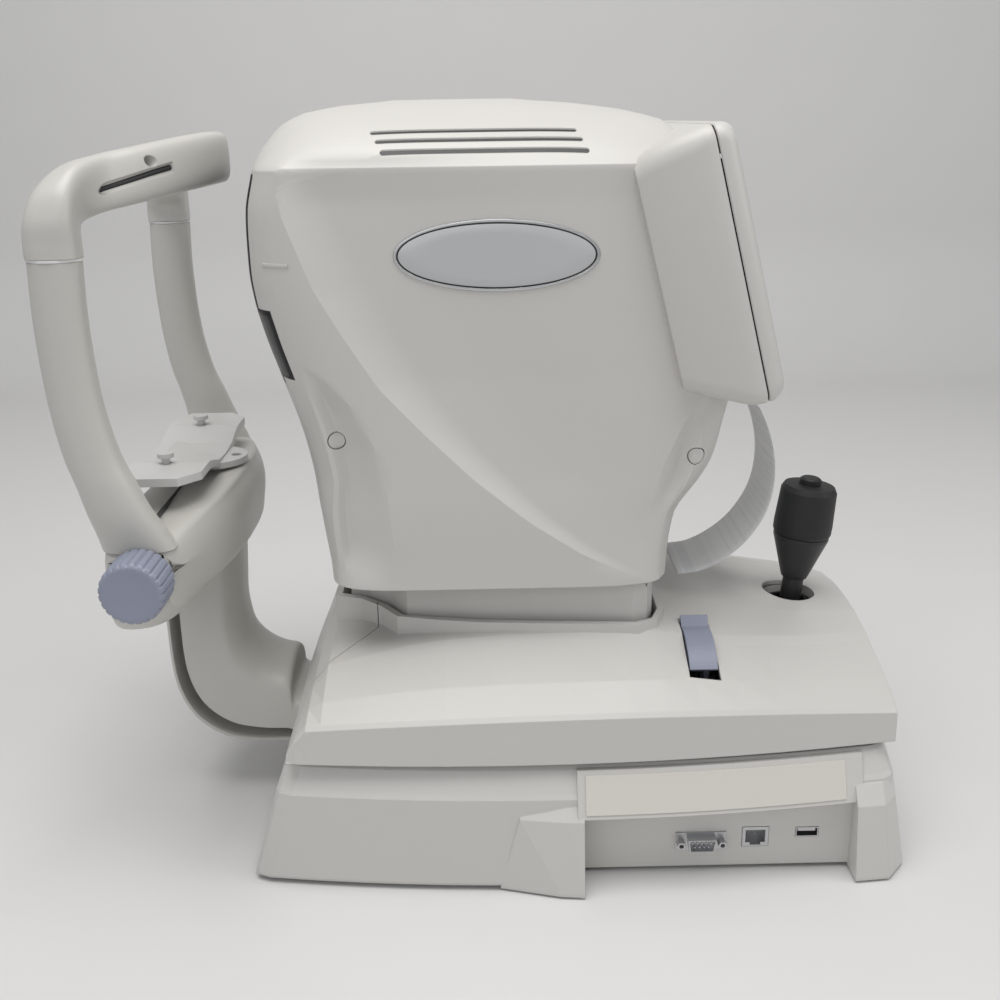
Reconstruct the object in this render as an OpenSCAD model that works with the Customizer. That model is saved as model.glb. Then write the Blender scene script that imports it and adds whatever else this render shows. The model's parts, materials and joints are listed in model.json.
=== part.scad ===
// Desktop auto kerato-refractometer: chin and forehead rest on a sliding-stage base, with a lifting measuring head.
// X runs from the patient side to the operator side, Y across the table, Z up. Millimetres.

/* [Base] */
// Half width of the base at the middle of its bowed side
base_half = 147; // [143:1:149]
// How much the bowed side draws in toward the ends
base_bow = 15; // [12:1:17]
// Wall thickness of the moulded covers
wall = 3; // [2.5:0.1:3.2]
// Height of the base top above the table
base_top = 77.5; // [77:0.1:77.6]
// Radius of each rubber foot
foot_r = 9; // [7:0.5:10]

/* [Carriage] */
// Half width of the carriage cover at the middle
cover_half = 139; // [136:1:140]
// How much the carriage side draws in toward the ends
cover_bow = 19; // [17:1:20]
// Height of the pedestal rim that surrounds the lift collar
rim_z = 145; // [143:0.5:146]
// Radius of the joystick opening in the deck
stick_hole_r = 17.6; // [17:0.1:18.5]
// Radius of the cross axle
axle_r = 5; // [4.5:0.1:5.4]
// Radial running clearance of shafts and bushes
fit = 0.04; // [0.02:0.01:0.08]

/* [Head] */
// Half width of the measuring head
head_half = 92; // [90:0.5:93]
// Half width of the monitor box on the head
box_half = 104; // [102:0.5:105]
// Height of the measuring axis above the table
axis_z = 364; // [360:1:368]
// Radius of the measuring window
window_r = 31; // [28:1:33]
// Half length of the oval badge
badge_a = 57; // [54:1:59]
// Half height of the oval badge
badge_b = 19; // [17:1:20]

/* [Joystick] */
// Radius of the joystick grip
grip_r = 19; // [18:0.1:19.4]
// Lean of the joystick toward the operator, degrees
stick_lean = 5.8; // [4:0.2:6.4]
// Radius of the measuring button
button_r = 7; // [6.5:0.1:7.4]

/* [Rest frame] */
// Half spacing of the two posts
post_y = 117; // [115:0.5:118]
// Height of the eye-level rings
ring_z = 375; // [372:0.5:377]
// Radius of the chin-rest knob
knob_r = 18.6; // [17.5:0.1:19]
// Half width of the chin-rest plate
chin_half = 80; // [76:1:82]

/* [Hidden] */

eps = 0.01;
big = 400;
base_x0 = -155;
base_x1 = 246;
recess_x0 = 46;
recess_x1 = 210;
recess_y = 130;
recess_h = 49;
cover_z = 81;
axle_x = -35;
axle_z = 91.1;
stick_x = 198;
ball_z = 108;
ball_r = 14;
knob_x = -203;
screw_x = -192;
knob_z = 198;
seam_drop = 0.2555;
lever_x = 121;
lever_y = 78;
lever_z = 101;
lever_r = 36.5;

// Half width of the base outline and of the carriage cover at a given x
function hb(x) = base_half - base_bow * pow((x - 35) / 190, 2);
function cw(x) = cover_half - cover_bow * pow((x - 10) / 225, 2);
// Deck edge height and half width along the carriage
function deck_z(x) = min(lookup(x, [[-110, 122], [-65, 131], [-18, 138], [92, 140], [138, 133], [182, 127], [240, 122]]),
  cover_z + 6 + (x + 130) * 1.95);
function deck_y(x) = lookup(x, [[-110, 86], [-65, 80], [92, 82], [138, 76], [182, 67], [210, 60], [240, 49]]);
function low_z(x) = min(112 - 9 * pow((x - 45) / 180, 2), cover_z + 4 + (x + 130) * 1.9);

// A closed solid through a stack of rings with equal point counts
module loft(rings) {
  n = len(rings[0]);
  m = len(rings);
  pts = [for (r = rings) each r];
  skin = [for (i = [0:m - 2]) for (j = [0:n - 1]) each [
    [i * n + j, (i + 1) * n + j, (i + 1) * n + (j + 1) % n],
    [i * n + j, (i + 1) * n + (j + 1) % n, i * n + (j + 1) % n]]];
  bottom = [[for (j = [0:n - 1]) j]];
  top = [[for (j = [n - 1:-1:0]) (m - 1) * n + j]];
  polyhedron(points = pts, faces = concat(skin, bottom, top));
}

// Many-sided round prism for holes in faceted covers
module round_prism(r, h) {
  linear_extrude(h) polygon([for (k = [0:47]) r * [cos(k * 7.5 + 1), sin(k * 7.5 + 1)]]);
}

// Mirrored copies on both sides of the centre plane
module both_sides() {
  children();
  mirror([0, 1, 0]) children();
}

// Rounded rectangle ring in plan: front x, rear x, half width, squareness
function soft_ring(xa, xb, w, z, e, n = 44) = [for (k = [0:n - 1]) let (a = 360 * (k + 0.5) / n, c = cos(a), s = sin(a))
  [(xa + xb) / 2 + (xb - xa) / 2 * sign(c) * pow(abs(c), 2 / e), w * sign(s) * pow(abs(s), 2 / e), z]];

// ---------- base ----------
function base_ring(z, d) = let (xa = base_x0 + 21 * (z - 3) / 75 + d * 0.25, xb = base_x1 - 10 * (z - 3) / 75 - d * 0.25,
  side = [for (i = [0:14]) let (x = xa + 10 + (xb - xa - 20) * i / 14) [x, -(hb(x) - d), z]],
  ends = [[xb - 3, -(hb(xb) - d - 3), z], [xb, -(hb(xb) - d - 11), z]],
  ends2 = [[xa, -(hb(xa) - d - 8), z], [xa + 2, -(hb(xa) - d - 2), z]],
  near = concat(ends2, side, ends), m = len(near))
  concat(near, [for (i = [m - 1:-1:0]) [near[i][0], -near[i][1], z]]);
// [height, inset] of the outer skin of the base
base_skin = [[3, 1], [5, 0], [60, 3.5], [63, 5.5], [75, 12], [base_top, 14.5]];
module base_outer(g = 0) {
  loft([for (l = base_skin) base_ring(l[0], l[1] - g)]);
}
module recess(g) {
  both_sides() translate([recess_x0 - g, -big, -1]) cube([recess_x1 - recess_x0 + 2 * g, big - recess_y + g, recess_h + 1 + g]);
}
// Slanted brow over each socket recess, which carries the port label
function brow_y(x, t) = (hb(x) + 1.5) * (1 - t) + (hb(x) - 9.5) * t;
module brow() {
  loft([for (i = [8:-1:0]) let (x = 42 + 173 * i / 8) [[x, -brow_y(x, 0), recess_h], [x, -brow_y(x, 1), 76],
    [x, -(hb(x) - 22), 76], [x, -(hb(x) - 22), recess_h]]]);
}
// Side wall flared into a leg beside a recess: [x, y] outlines at the foot and at brow height
module leg_slice(outline, z, inset) {
  translate([0, 0, z]) linear_extrude(2) polygon(concat([for (p = outline) [p[0], p[1] + inset]], [[outline[2][0], -118], [outline[0][0], -118]]));
}
module leg(low, high) {
  hull() {
    leg_slice(low, 1.5, 0);
    leg_slice(high, 46, 0);
    leg_slice(high, 57, 8);
  }
}
module base_housing() color("gainsboro") difference() {
  union() {
    base_outer();
    both_sides() brow();
    both_sides() leg([[recess_x0, -157], [32, -155.6], [-4, -146]], [[recess_x0, -149.5], [36, -149], [8, -145]]);
    both_sides() leg([[recess_x1, -147], [231, -145], [244, -130]], [[recess_x1, -139.5], [227, -138], [237, -126]]);
  }
  difference() {
    loft([base_ring(0, wall + 0.5), base_ring(60, wall + 3), base_ring(base_top - wall, wall + 12)]);
    recess(wall);
  }
  recess(0);
  translate([118.5, -recess_y, 21]) cube([20, 10, 10.6], center = true);
  translate([152, -recess_y, 23]) cube([16.4, 10, 13.9], center = true);
  translate([183.5, -recess_y, 25.5]) cube([14.4, 10, 7.2], center = true);
  translate([90, recess_y, 25]) cube([28.4, 10, 20.4], center = true);
  translate([140, recess_y, 25]) cube([22.4, 10, 14.4], center = true);
  // foot of the chin-rest column passes through the end wall
  translate([-160, -26, 48.2]) cube([40, 52, 17.6]);
}
module base_plate() color("dimgray") translate([0, 0, 5.2]) difference() {
  linear_extrude(2) polygon([for (p = base_ring(6, 5)) [p[0], p[1]]]);
  translate([0, 0, -5]) recess(wall + 0.6);
  for (x = [-120, 215], s = [-1, 1]) translate([x, s * 96, -1]) cylinder(r = 2, h = 4, $fn = 32);
}
module rubber_feet() color("black") for (x = [-120, 215], s = [-1, 1]) translate([x, s * 96, 0]) difference() {
  cylinder(r = foot_r, h = 5.1, $fn = 48);
  translate([0, 0, -eps]) cylinder(r = 3.5, h = 2, $fn = 32);
}
// D-shaped outline of a nine-way connector
function dee(g) = [[-8.4 - g, 4 + g], [8.4 + g, 4 + g], [7.2 + g, -4 - g], [-7.2 - g, -4 - g]];
module serial_port() color("silver") translate([118.5, -recess_y - 0.1, 21]) rotate([90, 0, 0]) {
  difference() {
    union() {
      translate([-15.4, -6.2, 0]) cube([30.8, 12.4, 1]);
      linear_extrude(6.5) polygon(dee(0.2));
      translate([-9.5, -4.9, -14]) cube([19, 9.8, 14.1]);
      for (s = [-1, 1]) translate([s * 12.5, 0, 0]) cylinder(r = 2.7, h = 6, $fn = 6);
    }
    translate([0, 0, 2]) linear_extrude(6) polygon(dee(-0.5));
    for (s = [-1, 1]) translate([s * 12.5, 0, 1.5]) cylinder(r = 1.4, h = 6, $fn = 24);
  }
  for (k = [-2:2]) translate([k * 2.76, 1.4, 1.9]) cylinder(r = 0.5, h = 3.4, $fn = 16);
  for (k = [-1.5:1:1.5]) translate([k * 2.76, -1.4, 1.9]) cylinder(r = 0.5, h = 3.4, $fn = 16);
}
module lan_port() color("silver") translate([152, -recess_y - 0.2, 23]) difference() {
  translate([-8, 0, -6.75]) cube([16, 18, 13.5]);
  translate([-6, -1, -4]) cube([12, 12, 8.6]);
  translate([-3.2, -1, -5.8]) cube([6.4, 12, 3]);
}
module usb_port() color("silver") translate([183.5, -recess_y - 0.2, 25.5]) {
  difference() {
    translate([-7, 0, -3.4]) cube([14, 15, 6.8]);
    translate([-6.3, -1, -2.6]) cube([12.6, 12, 5.2]);
  }
  translate([-5.4, 1.5, -0.2]) cube([10.8, 10, 1.8]);
}
module port_label() color("ivory") loft([for (i = [8:-1:0]) let (x = 47 + 157 * i / 8, a = 0.1, b = 0.9, h = 76 - recess_h)
  [[x, -brow_y(x, a) - 0.55, recess_h + h * a], [x, -brow_y(x, b) - 0.55, recess_h + h * b],
   [x, -brow_y(x, b) - 0.1, recess_h + h * b], [x, -brow_y(x, a) - 0.1, recess_h + h * a]]]);
module power_inlet() color("black") translate([90, recess_y, 25]) {
  difference() {
    union() {
      translate([-14, -16, -10]) cube([28, 16, 20]);
      translate([-20, 0.1, -12]) cube([40, 2.4, 24]);
    }
    translate([-11.5, -12, -8]) cube([23, 20, 15]);
    for (s = [-1, 1]) translate([s * 17.5, 0, 0]) rotate([-90, 0, 0]) cylinder(r = 1.6, h = 4, $fn = 24);
  }
  for (k = [-1:1]) translate([k * 6.5 - 1, -13, k == 0 ? -3 : 1]) cube([2, 13, 4]);
  translate([-14, -16, -10]) cube([28, 3.5, 20]);
  // frame of the rocker switch
  translate([50, 0, 0]) difference() {
    translate([-13, 0.1, -9]) cube([26, 2, 18]);
    translate([-9.6, -1, -5.6]) cube([19.2, 4, 11.2]);
  }
  translate([50, 0, 0]) difference() {
    translate([-11, -17, -7]) cube([22, 17.2, 14]);
    translate([-9.6, -12, -5.6]) cube([19.2, 14, 11.2]);
  }
}
module power_rocker() color("black") translate([140, recess_y - 4, 25]) rotate([0, 90, 0])
  linear_extrude(18.4, center = true) polygon([[-4, 5.4], [-2, 6], [0, 6.2], [4, 7.6], [3.8, -2], [2, -5.5], [-2, -5.5], [-3.8, -2]]);
module power_supply() color("silver") translate([-20, 20, 9]) difference() {
  cube([96, 84, 34]);
  translate([1.5, 1.5, 1.5]) cube([93, 81, 31]);
  for (k = [0:7]) translate([12 + k * 10, 20, 30]) cube([4, 44, 8]);
}
module main_board() color("darkgreen") {
  translate([-122, -104, 15]) cube([98, 208, 1.8]);
  for (x = [-116, -32], y = [-96, 96]) translate([x, y, 7.3]) cylinder(r = 3, h = 7.7, $fn = 24);
  translate([-100, -60, 16.7]) cube([36, 36, 4]);
  translate([-104, 20, 16.7]) cube([22, 40, 9]);
  translate([-60, 10, 16.7]) cube([18, 18, 3]);
  for (k = [0:4]) translate([-50, -90 + k * 16, 16.7]) cylinder(r = 5, h = 14, $fn = 32);
}
// Involute-like rack and pinion, module 1
pinion_teeth = 16;
function rack_pts(n) = concat([[0, 0]], [for (k = [0:n - 1]) each [[k * PI + PI / 2 - 1.05, 4], [k * PI + PI / 2 - 0.34, 6.3],
  [k * PI + PI / 2 + 0.34, 6.3], [k * PI + PI / 2 + 1.05, 4]]], [[n * PI, 4], [n * PI, 0]]);
module stage_racks() color("silver") both_sides() {
  n = 28;
  translate([axle_x - 12 * PI, -82, base_top + 0.2]) rotate([90, 0, 0]) linear_extrude(8) polygon(rack_pts(n));
}
module friction_plate() color("gray") translate([0, 0, base_top + 0.15]) linear_extrude(1.5) polygon([[150, -58], [232, -50], [232, 50], [150, 58]]);

// ---------- chin and forehead rest ----------
// [outer x, outer z, inner x, inner z] down the column and along its arm
column_path = [[-146, 39, -141, 91], [-165, 39, -153, 94], [-185, 42, -161, 99], [-200, 50, -167, 105], [-211, 62, -171, 112],
  [-218, 78, -173, 122], [-221, 98, -174, 134], [-221.5, 130, -173, 150], [-221.5, 170, -171, 180]];
function column_pt(s, f, y) = [s[0] + (s[2] - s[0]) * f, y, s[1] + (s[3] - s[1]) * f];
// [share of the way in, half width] of the column and of the pocket it enters in the yoke
column_edge = [[0, 30], [0.05, 33], [0.4, 34], [0.78, 33], [0.86, 30], [0.94, 22], [1, 12]];
pocket_edge = [[0, 30.6], [0.2, 33.8], [0.5, 34.6], [0.82, 33.8], [0.89, 31], [0.955, 23.4], [1, 13.4]];
function column_ring(s, edge) = concat([for (p = edge) column_pt(s, p[0], -p[1])],
  [for (i = [6:-1:0]) column_pt(s, edge[i][0], edge[i][1])]);
module chinrest_column() color("gainsboro") {
  difference() {
    loft([for (s = column_path) column_ring([s[0] + (s[2] - s[0]) * 0.17, s[1] + (s[3] - s[1]) * 0.17, s[2], s[3]], column_edge)]);
    base_outer(0.3);
    translate([-207, -19, 79]) cube([32, 38, 140]);
  }
  // boss that is clamped inside the base
  translate([-152, -25.7, 48.5]) cube([34, 51.4, 17]);
}
module column_cover() color("gainsboro") difference() {
  loft([for (s = column_path) let (q = [s[0], s[1], s[0] + (s[2] - s[0]) * 0.15, s[1] + (s[3] - s[1]) * 0.15])
    concat([for (p = [[0, 26], [0.3, 31], [1, 33]]) column_pt(q, p[0], -p[1])],
      [for (p = [[1, 33], [0.3, 31], [0, 26]]) column_pt(q, p[0], p[1])])]);
  base_outer(0.3);
}
// [y, patient x, top z patient, crest x, crest z, bulge x, bottom z]
yoke_table = [[0, -223, 223, -164, 229, -160, 162], [30, -223, 223, -165, 228, -161, 162], [60, -225, 222, -170, 225, -167, 160],
  [90, -227, 219, -178, 221, -176, 161], [108, -227, 216, -184, 217, -182, 165], [117, -226, 213, -188, 214, -187, 171],
  [122, -224, 209, -191, 210, -190, 177]];
function yoke_ring(r, y) = [[r[1] + 3, y, r[6] - 6], [r[1], y, r[6] + 4], [r[1] + 1, y, r[2] - 4], [r[1] + 5, y, r[2]],
  [r[3] - 4, y, r[4]], [r[3], y, r[4] - 5], [r[5], y, r[4] - 16], [r[5] - 1, y, r[6] + 34], [r[5] - 6, y, r[6] + 18],
  [-190, y, r[6] + 5], [-205, y, r[6] - 4]];
module chinrest_yoke() color("gainsboro") {
  difference() {
    loft(concat([for (i = [6:-1:1]) yoke_ring(yoke_table[i], -yoke_table[i][0])], [for (i = [0:6]) yoke_ring(yoke_table[i], yoke_table[i][0])]));
    // flat ends
    for (s = [-1, 1]) translate([-260, s * 126.5 - 5, 100]) cube([160, 10, 160]);
    intersection() {
      loft([for (s = concat(column_path, [[-221.5, 172, -171, 182]])) column_ring([s[0] - 1, s[1], s[2] + 1, s[3]], pocket_edge)]);
      translate([-260, -60, 100]) cube([120, 120, 84]);
    }
    translate([-218, -19, 140]) cube([45, 38, 76]);
    translate([-190, -14, 200]) cube([16, 28, 40]);
    translate([knob_x, 0, knob_z]) rotate([90, 0, 0]) round_prism(4.4, 130);
  }
}
// Post centre line: [z, centre x, half depth in x, half width in y]
post_path = [[212, -206, 21, 12], [222, -209, 19.5, 12], [236, -214, 17.5, 12], [252, -219, 16, 12], [270, -225, 15, 11.5],
  [300, -230, 14.2, 11], [340, -232, 14, 11], [374.2, -231, 14, 11]];
function oval(cx, cy, z, a, b, n = 20) = [for (k = [0:n - 1]) let (t = 360 * k / n) [cx + a * cos(t), cy + b * sin(t), z]];
module post(s) {
  loft([for (p = post_path) oval(p[1], s * (post_y - (p[0] < 240 ? (240 - p[0]) * 0.2 : 0)), p[0], p[2], p[3])]);
}
module post_right() color("gainsboro") difference() {
  post(-1);
  loft(concat([for (i = [6:-1:1]) yoke_ring(yoke_table[i] + [0, 0, 0.1, 0, 0.1, 0, 0], -yoke_table[i][0])], [yoke_ring(yoke_table[0], 0)]));
}
module post_left() color("gainsboro") mirror([0, 1, 0]) post_right();
// Sweep frames of the forehead bar: centre, wide axis, thick axis
bar_half = [[[-231, -117, 375.8], [14, 0, 0], [0, 11, 0]], [[-231, -117, 384], [14, 0, 0], [0, 11, 0]],
  [[-230.5, -115.5, 393], [13, -1, 0], [0, 11, -5]], [[-228, -109.5, 402], [11, -3, 0], [0, 9, -10]],
  [[-223, -99, 408], [8, -5, 0], [0, 4, -14.4]]];
function bar_x(y) = -170 - 47 * pow(y / 88, 2);
function bar_arc(y) = let (d = (bar_x(y + 0.5) - bar_x(y - 0.5)), l = sqrt(1 + d * d)) [[bar_x(y), y, 421.5 - 10.8 * pow(y / 88, 2)],
  [8 / l, -8 * d / l, 0], [0, 0, -15]];
function bar_ring(f) = [for (k = [0:19]) let (t = 360 * k / 20, c = sign(cos(t)) * pow(abs(cos(t)), 0.7), s = sign(sin(t)) * pow(abs(sin(t)), 0.7))
  f[0] + f[1] * c + f[2] * s];
function flip(f) = [[f[0][0], -f[0][1], f[0][2]], [f[1][0], -f[1][1], f[1][2]], [f[2][0], -f[2][1], f[2][2]]];
module forehead_bar() color("gainsboro") loft(concat([for (f = bar_half) bar_ring(f)],
  [for (y = [-88:11:88]) bar_ring(bar_arc(y))], [for (i = [4:-1:0]) bar_ring(flip(bar_half[i]))]));
// Point behind the bar's centre line by g, square to it
function pad_pt(y, g) = let (f = bar_arc(y)) [f[0][0] - f[1][0] * g / 8, y - f[1][1] * g / 8];
module forehead_pad() color("whitesmoke") translate([0, 0, 409]) linear_extrude(21) polygon(concat([for (y = [-60:6:60]) pad_pt(y, 8.4)],
  [for (y = [60:-6:-60]) pad_pt(y, 13 + 1.5 * pow(y / 60, 2))]));
module eye_level_rings() color("white") both_sides() translate([-231, -post_y, ring_z - 0.7]) difference() {
  linear_extrude(1.4) scale(1) polygon([for (k = [0:35]) [14.6 * cos(k * 10), 11.6 * sin(k * 10)]]);
  translate([0, 0, -1]) linear_extrude(1.85) polygon([for (k = [0:35]) [14.12 * cos(k * 10), 11.12 * sin(k * 10)]]);
  translate([0, 0, 1.25]) linear_extrude(1) polygon([for (k = [0:35]) [14.12 * cos(k * 10), 11.12 * sin(k * 10)]]);
}
module chinrest_carrier() color("silver") {
  difference() {
    union() {
      translate([-206, -14, 84]) cube([30, 28, 16]);
      translate([-185, -12, 84]) cube([8, 24, 146.3]);
    }
    translate([screw_x, 0, 60]) cylinder(r = 5 + fit, h = 60, $fn = 48);
  }
}
// Chin plate outline in Y-Z with a central dip
chin_top = [[-chin_half, 243], [-44, 243], [-34, 241], [-20, 237], [0, 235.6], [20, 237], [34, 241], [44, 243], [chin_half, 243]];
module chinrest_plate() color("ivory") {
  intersection() {
    translate([-227, 0, 0]) rotate([90, 0, 90]) linear_extrude(48) polygon(concat(chin_top, [for (i = [8:-1:0]) [chin_top[i][0], chin_top[i][1] - 5]]));
    translate([0, 0, 200]) linear_extrude(60) polygon([[-227, -60], [-219, -80], [-190, -80], [-179, -66], [-179, 66], [-190, 80], [-219, 80], [-227, 60]]);
  }
  // wedge foot and round tongue under the plate
  translate([0, 0, 0]) rotate([90, 0, 0]) linear_extrude(44, center = true) polygon([[-216, 238], [-184, 234.2], [-184, 230.5], [-206, 230.5]]);
  difference() {
    translate([-186, 0, 230.5]) cylinder(r = 21, h = 4, $fn = 64);
    translate([-172, 0, 229]) cylinder(r = 3.2, h = 8, $fn = 32);
  }
}
module paper_pins() color("white") for (s = [-1, 1]) translate([-205, s * 47, 243.05]) {
  cylinder(r = 2.6, h = 5, $fn = 32);
  translate([0, 0, 4]) cylinder(r = 5, h = 2.6, $fn = 40);
}
module chinrest_screw() color("silver") translate([screw_x, 0, 0]) {
  translate([0, 0, 80]) cylinder(r = 5, h = 126, $fn = 48);
  translate([0, 0, 188]) cylinder(r = 5.8, h = 20, $fn = 48);
}
module chinrest_knob() color("lightsteelblue") translate([knob_x, 0, knob_z]) rotate([90, 0, 0]) {
  difference() {
    translate([0, 0, 125]) linear_extrude(24) polygon([for (k = [0:119]) let (a = 3 * k, f = k % 5) (knob_r - (f == 0 ? 1.3 : f == 1 || f == 4 ? 0.8 : 0)) * [cos(a), sin(a)]]);
    translate([0, 0, 124]) cylinder(r = 13, h = 8, $fn = 48);
  }
  translate([0, 0, -12]) cylinder(r = 4, h = 145, $fn = 48);
  translate([0, 0, -8]) cylinder(r = 4.9, h = 16, $fn = 48);
}

// ---------- carriage ----------
module cross_frame() color("slategray") difference() {
  union() {
    for (s = [-1, 1]) translate([axle_x - 12, s * 76 - 3, 82]) cube([24, 6, 18.8]);
    translate([axle_x - 27, -79, 84]) cube([10, 158, 7]);
    for (s = [-1, 1]) translate([axle_x - 27, s * 76 - 3, 84]) cube([20, 6, 7]);
  }
  translate([axle_x, -110, axle_z]) rotate([-90, 0, 0]) cylinder(r = axle_r + fit, h = 220, $fn = 64);
}
module cross_axle() color("silver") translate([axle_x, 0, axle_z]) rotate([90, 0, 0]) {
  cylinder(r = axle_r, h = 184, center = true, $fn = 64);
  for (s = [-1, 1]) translate([0, 0, s * 86]) linear_extrude(7.6, center = true) polygon([for (k = [0:pinion_teeth - 1]) let (a = 360 * k / pinion_teeth - 90)
    each [6.75 * [cos(a - 7.6), sin(a - 7.6)], 9 * [cos(a - 3.2), sin(a - 3.2)], 9 * [cos(a + 3.2), sin(a + 3.2)], 6.75 * [cos(a + 7.6), sin(a + 7.6)]]]);
}
function cover_ring(x, d) = let (c = cw(x) - d, l = low_z(x) - d * 0.8, y = deck_y(x) - d * 0.4, h = max(l + 0.4, deck_z(x) - d),
  half = [[x, -c, cover_z - (d > 0 ? 1 : 0)], [x, -(c - 1.2), l - 2.6], [x, -(c - 4), l], [x, -(c * 0.62 + y * 0.38), l + (h - l) * 0.42],
    [x, -(y + 8), l + (h - l) * 0.86], [x, -y, h], [x, -(y - 12), h + 1.2], [x, -y * 0.5, h + 3.6], [x, -y * 0.2, h + 4.6]])
  concat(half, [for (i = [8:-1:0]) [x, -half[i][1], half[i][2]]]);
cover_x = [236, 228, 213, 190, 165, 140, 115, 95, 75, 40, 0, -35, -60, -80, -96, -108, -117, -124, -130];
module cover_outer() {
  loft([for (x = cover_x) cover_ring(x, 0)]);
}
module cover_inner() {
  loft([for (x = concat([232.8], [for (v = cover_x) if (v > -120 && v < 231) v], [-122])) cover_ring(x, wall)]);
}
// Plan outline of the pedestal, drawn in by d, with its own front limit
function ped_half(d, f) = [[f, -28 + d * 0.6], [-91 + d * 0.3, -35 + d], [-77 + d * 0.7, -48 + d * 0.7], [-66 + d * 0.8, -64 + d * 0.6], [-40, -71 + d],
  [-13, -76 + d], [30, -80 + d], [84 - d * 0.4, -84 + d], [96 - d * 0.7, -78 + d * 0.8], [103 - d, -60]];
function ped(d, f) = let (h = ped_half(d, f)) concat(h, [for (i = [9:-1:0]) [h[i][0], -h[i][1]]]);
module pedestal(d, f, za, zb) {
  translate([0, 0, za]) linear_extrude(zb - za) polygon(ped(d, f));
}
module lever_slot() {
  translate([lever_x - 9.5, -112, 96]) cube([19, 50, 60]);
}
module full_cover() difference() {
  union() {
    difference() {
      cover_outer();
      cover_inner();
    }
    translate([stick_x, 0, 121.6]) round_prism(stick_hole_r + 2.2, 5);
    pedestal(0, -109, 118.2, rim_z);
  }
  pedestal(4.4, -104.5, 70, rim_z + 1);
  translate([stick_x, 0, 100]) round_prism(stick_hole_r, 60);
  lever_slot();
}
module front_zone(g) {
  translate([0, 0, 60]) linear_extrude(120) polygon([[-big, -90 - g], [-111, -86 - g], [-80 + g, -50 - g], [-80 + g, 50 + g], [-111, 86 + g], [-big, 90 + g]]);
}
module carriage_cover() color("gainsboro") difference() {
  full_cover();
  front_zone(0.4);
}
module front_cover() color("gainsboro") intersection() {
  full_cover();
  front_zone(0);
}
module carriage_plate() color("silver") translate([0, 0, 101.2]) difference() {
  linear_extrude(4) polygon([[-101, -60], [-84, -88], [150, -92], [222, -44], [222, 44], [150, 92], [-84, 88], [-101, 60]]);
  translate([stick_x, 0, -1]) cylinder(r = 17.6, h = 6, $fn = 64);
  translate([lever_x - 15.4, -93, -1]) cube([30.8, 36, 6]);
  translate([-20, -70, -1]) cube([50, 30, 6]);
  translate([-20, 40, -1]) cube([50, 30, 6]);
}
module linear_bearings() color("gray") for (s = [-1, 1]) translate([axle_x, s * 22, 0]) difference() {
  translate([-11, -8, 83]) cube([22, 16, 18.2]);
  translate([0, -9, axle_z]) rotate([-90, 0, 0]) cylinder(r = axle_r + fit, h = 18, $fn = 64);
}
module lift_collar() color("gainsboro") difference() {
  pedestal(8, -99, 105.2, 203);
  pedestal(11, -96, 105, 204);
}
module lift_guides() color("silver") for (s = [-1, 1]) translate([-45, s * 40, 105.2]) {
  cylinder(r = 5, h = 106, $fn = 64);
  cylinder(r = 10, h = 4, $fn = 48);
}
module lift_motor() color("dimgray") {
  translate([56, 0, 112.4]) cylinder(r = 19, h = 44, $fn = 64);
  translate([56, 0, 105.4]) cylinder(r = 7, h = 7.2, $fn = 48);
  // stand-offs that carry the motor over its belt wheel
  for (s = [-1, 1]) translate([56, s * 15, 105.4]) cylinder(r = 2.5, h = 7.2, $fn = 24);
}
module joystick_socket() color("dimgray") translate([stick_x, 0, 105.4]) difference() {
  cylinder(r = 25, h = 12, $fn = 64);
  translate([0, 0, -1]) cylinder(r = 17.6, h = 20, $fn = 96);
  for (k = [0:3]) rotate([0, 0, 45 + 90 * k]) translate([21.3, 0, -1]) cylinder(r = 1.6, h = 20, $fn = 24);
}
module joystick_boot() color("black") translate([stick_x, 0, 0]) rotate_extrude($fn = 96)
  polygon([[24.5, 117.8], [24.5, 120], [20, 120.8], [16, 121.6], [12.4, 124], [11.6, 124], [11.6, 122.6], [15, 120], [20, 118.6], [22, 117.8]]);
module lock_bracket() color("gray") for (s = [-1, 1]) translate([lever_x, -lever_y, 0]) difference() {
  union() {
    translate([s * 13.5 - 1.5, -8, 95]) cube([3, 16, 12.3]);
    translate([s * 18.5 - 6.5, -8, 105.3]) cube([13, 16, 2]);
  }
  translate([0, 0, lever_z]) rotate([0, 90, 0]) cylinder(r = 3 + fit, h = 40, center = true, $fn = 48);
}
module lock_lever() color("lightsteelblue") translate([lever_x, -lever_y, lever_z]) {
  rotate([90, 0, 90]) linear_extrude(17, center = true) polygon(concat([for (a = [68:4:140]) lever_r * [-cos(180 - a), sin(a)]],
    [for (a = [140:-4:68]) (lever_r - 3.4) * [-cos(180 - a), sin(a)]]));
  rotate([90, 0, 90]) linear_extrude(17, center = true) polygon([[9, 33], [14.5, 40], [12, 41.6], [6, 35]]);
  for (s = [-1, 1]) translate([s * 6, 0, 0]) rotate([90, 0, 90]) linear_extrude(3, center = true) polygon([[-4, -3], [4, -3], [8, 33], [-8, 33]]);
  rotate([0, 90, 0]) cylinder(r = 3, h = 30, center = true, $fn = 48);
}
module lift_screw() color("silver") translate([10, 0, 0]) {
  translate([0, 0, 106]) cylinder(r = 6, h = 105, $fn = 64);
  translate([0, 0, 106]) cylinder(r = 16, h = 5, $fn = 64);
}

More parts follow.
